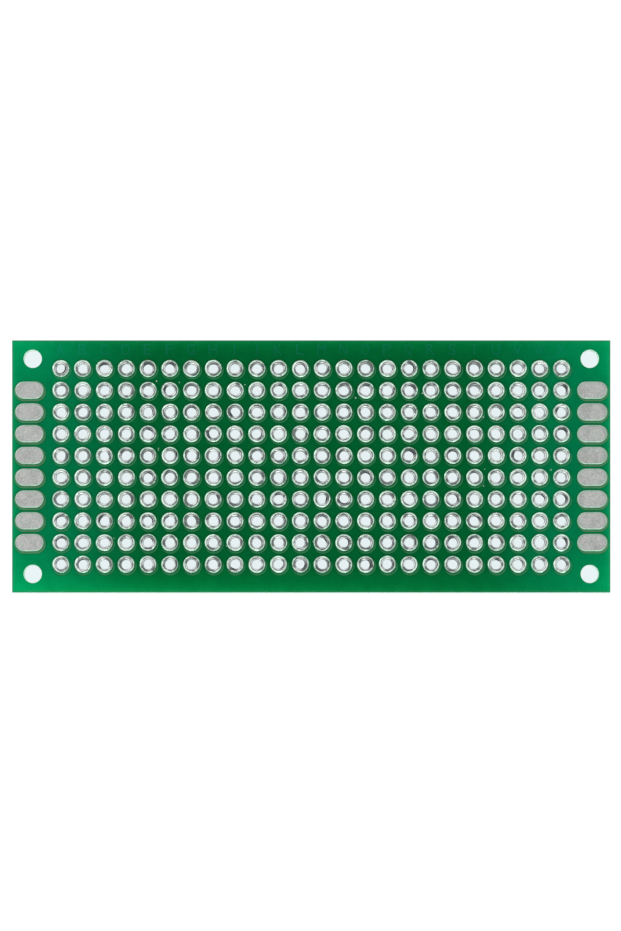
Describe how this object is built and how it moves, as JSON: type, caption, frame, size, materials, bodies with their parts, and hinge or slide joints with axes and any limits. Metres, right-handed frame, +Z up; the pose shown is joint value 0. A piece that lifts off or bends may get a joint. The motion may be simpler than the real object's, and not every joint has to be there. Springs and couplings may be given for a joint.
{
  "type": "prototype board",
  "caption": "Flat rectangular double-sided prototype board with a grid of tinned plated-through lead holes, edge contacts at both ends and corner mounting holes.",
  "frame": {"origin": "centre of the board's outline, at the height of the lowest tinned pads, which touch the table", "axes": "+X along the rows from column A to column X, +Y across the rows from row 10 to row 1, +Z up out of the lettered face"},
  "size_m": [0.0698, 0.0294, 0.0017],
  "materials": {
    "laminate": "woven glass-epoxy laminate, sawn edges",
    "solder_mask": "screened and cured green epoxy, semi-gloss",
    "copper": "etched foil and electroplated hole walls",
    "tin": "hot-air-levelled tin, bright and slightly uneven"
  },
  "bodies": {
    "root": {"laminate": "laminate", "solder_mask_top": "solder_mask", "solder_mask_bottom": "solder_mask", "contact_foil_left_top": "copper", "contact_foil_left_bottom": "copper", "contact_foil_right_top": "copper", "contact_foil_right_bottom": "copper", "contact_tin_left_top": "tin", "contact_tin_left_bottom": "tin", "contact_tin_right_top": "tin", "contact_tin_right_bottom": "tin", "plated_holes_a": "copper", "plated_holes_b": "copper", "plated_holes_c": "copper", "plated_holes_d": "copper", "plated_holes_e": "copper", "plated_holes_f": "copper", "plated_holes_g": "copper", "plated_holes_h": "copper", "plated_holes_i": "copper", "plated_holes_j": "copper", "plated_holes_k": "copper", "plated_holes_l": "copper", "plated_holes_m": "copper", "plated_holes_n": "copper", "plated_holes_o": "copper", "plated_holes_p": "copper", "plated_holes_q": "copper", "plated_holes_r": "copper", "plated_holes_s": "copper", "plated_holes_t": "copper", "plated_holes_u": "copper", "plated_holes_v": "copper", "plated_holes_w": "copper", "plated_holes_x": "copper", "tin_rings_a": "tin", "tin_rings_b": "tin", "tin_rings_c": "tin", "tin_rings_d": "tin", "tin_rings_e": "tin", "tin_rings_f": "tin", "tin_rings_g": "tin", "tin_rings_h": "tin", "tin_rings_i": "tin", "tin_rings_j": "tin", "tin_rings_k": "tin", "tin_rings_l": "tin", "tin_rings_m": "tin", "tin_rings_n": "tin", "tin_rings_o": "tin", "tin_rings_p": "tin", "tin_rings_q": "tin", "tin_rings_r": "tin", "tin_rings_s": "tin", "tin_rings_t": "tin", "tin_rings_u": "tin", "tin_rings_v": "tin", "tin_rings_w": "tin", "tin_rings_x": "tin"}
  },
  "joints": []
}
